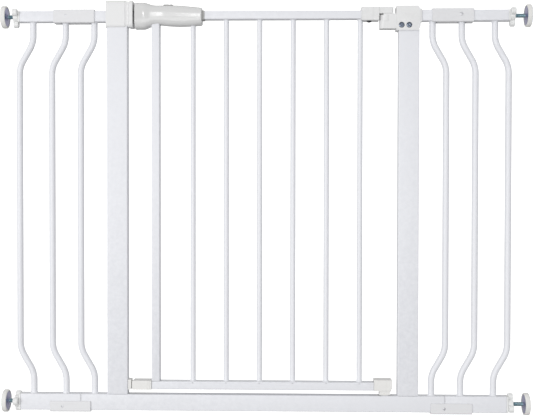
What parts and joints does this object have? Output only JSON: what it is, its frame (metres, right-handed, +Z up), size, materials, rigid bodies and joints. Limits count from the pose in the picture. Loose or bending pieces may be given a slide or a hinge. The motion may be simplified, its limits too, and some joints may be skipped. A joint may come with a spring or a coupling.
{
  "type": "safety baby gate",
  "caption": "Pressure-mounted walk-through baby gate with a lift-and-swing barred door, a latch handle and a bent-bar extension panel on each side.",
  "frame": {"origin": "on the floor, midway between the wall pads' outer faces and midway through the gate's depth", "axes": "+X along the gate towards the hinge side, -Y towards the front seen in the picture, +Z up"},
  "size_m": [0.966, 0.041, 0.757],
  "materials": {
    "powder_coat": "satin white powder coat",
    "white_plastic": "fine-textured white moulding",
    "pad_rubber": "matt white",
    "zinc_plate": "bright zinc plate",
    "spring_steel": "oiled spring wire"
  },
  "bodies": {
    "frame": {"left_post": "powder_coat", "left_stub_rail": "powder_coat", "left_extension_top_rail": "powder_coat", "left_extension_bottom_rail": "powder_coat", "left_frame_bar": "powder_coat", "left_extension_inner_bar": "powder_coat", "left_extension_outer_bar": "powder_coat", "left_top_joiner": "white_plastic", "left_bottom_joiner": "white_plastic", "left_top_end_plug": "white_plastic", "left_bottom_end_plug": "white_plastic", "right_post": "powder_coat", "right_stub_rail": "powder_coat", "right_extension_top_rail": "powder_coat", "right_extension_bottom_rail": "powder_coat", "right_frame_bar": "powder_coat", "right_extension_inner_bar": "powder_coat", "right_extension_outer_bar": "powder_coat", "right_top_joiner": "white_plastic", "right_bottom_joiner": "white_plastic", "right_top_end_plug": "white_plastic", "right_bottom_end_plug": "white_plastic", "threshold_rail": "powder_coat", "pivot_bush": "white_plastic", "latch_housing": "white_plastic", "catch_keeper": "white_plastic", "hinge_bracket": "white_plastic", "hinge_screw_inner": "zinc_plate", "hinge_screw_outer": "zinc_plate", "closing_spring": "spring_steel"},
    "closing_sleeve": {"spring_sleeve": "white_plastic"},
    "door": {"door_top_rail": "powder_coat", "door_bottom_rail": "powder_coat", "latch_stile": "powder_coat", "door_bar_1": "powder_coat", "door_bar_2": "powder_coat", "door_bar_3": "powder_coat", "door_bar_4": "powder_coat", "door_bar_5": "powder_coat", "door_bar_6": "powder_coat", "hinge_arm": "white_plastic", "pivot_pin": "zinc_plate", "hinge_foot": "white_plastic", "bottom_catch": "white_plastic", "handle_front_shell": "white_plastic", "handle_rear_shell": "white_plastic"},
    "latch": {"latch_bolt": "white_plastic", "thumb_button": "white_plastic"},
    "left_top_knob": {"left_top_hand_knob": "white_plastic"},
    "left_top_adjuster": {"left_top_spindle": "zinc_plate", "left_top_wall_pad": "pad_rubber"},
    "left_bottom_knob": {"left_bottom_hand_knob": "white_plastic"},
    "left_bottom_adjuster": {"left_bottom_spindle": "zinc_plate", "left_bottom_wall_pad": "pad_rubber"},
    "right_top_knob": {"right_top_hand_knob": "white_plastic"},
    "right_top_adjuster": {"right_top_spindle": "zinc_plate", "right_top_wall_pad": "pad_rubber"},
    "right_bottom_knob": {"right_bottom_hand_knob": "white_plastic"},
    "right_bottom_adjuster": {"right_bottom_spindle": "zinc_plate", "right_bottom_wall_pad": "pad_rubber"}
  },
  "joints": [
    {"name": "door_swing", "type": "hinge", "parent": "frame", "child": "closing_sleeve", "pos_m": [0.2205, 0, 0.7], "axis": [0, 0, 1], "range_deg": [-95, 95], "stiffness_Nm_per_rad": 0.8},
    {"name": "door_lift", "type": "slide", "parent": "closing_sleeve", "child": "door", "axis": [0, 0, 1], "range_m": [0, 0.008]},
    {"name": "latch_slide", "type": "slide", "parent": "door", "child": "latch", "axis": [-1, 0, 0], "range_m": [0, 0.012]},
    {"name": "left_top_knob_turn", "type": "hinge", "parent": "frame", "child": "left_top_knob", "pos_m": [-0.454, 0, 0.7285], "axis": [-1, 0, 0], "range_deg": [-1728, 11232]},
    {"name": "left_top_spindle_slide", "type": "slide", "parent": "frame", "child": "left_top_adjuster", "axis": [-1, 0, 0], "range_m": [-0.006, 0.039]},
    {"name": "left_bottom_knob_turn", "type": "hinge", "parent": "frame", "child": "left_bottom_knob", "pos_m": [-0.454, 0, 0.0205], "axis": [-1, 0, 0], "range_deg": [-1728, 11232]},
    {"name": "left_bottom_spindle_slide", "type": "slide", "parent": "frame", "child": "left_bottom_adjuster", "axis": [-1, 0, 0], "range_m": [-0.006, 0.039]},
    {"name": "right_top_knob_turn", "type": "hinge", "parent": "frame", "child": "right_top_knob", "pos_m": [0.446, 0, 0.7285], "axis": [1, 0, 0], "range_deg": [-4032, 8928]},
    {"name": "right_top_spindle_slide", "type": "slide", "parent": "frame", "child": "right_top_adjuster", "axis": [1, 0, 0], "range_m": [-0.014, 0.031]},
    {"name": "right_bottom_knob_turn", "type": "hinge", "parent": "frame", "child": "right_bottom_knob", "pos_m": [0.446, 0, 0.0205], "axis": [1, 0, 0], "range_deg": [-4032, 8928]},
    {"name": "right_bottom_spindle_slide", "type": "slide", "parent": "frame", "child": "right_bottom_adjuster", "axis": [1, 0, 0], "range_m": [-0.014, 0.031]}
  ],
  "couplings": [
    {"joint": "left_top_knob_turn", "follows": "left_top_spindle_slide", "rad_per_m": 5026.5},
    {"joint": "left_bottom_knob_turn", "follows": "left_bottom_spindle_slide", "rad_per_m": 5026.5},
    {"joint": "right_top_knob_turn", "follows": "right_top_spindle_slide", "rad_per_m": 5026.5},
    {"joint": "right_bottom_knob_turn", "follows": "right_bottom_spindle_slide", "rad_per_m": 5026.5}
  ]
}
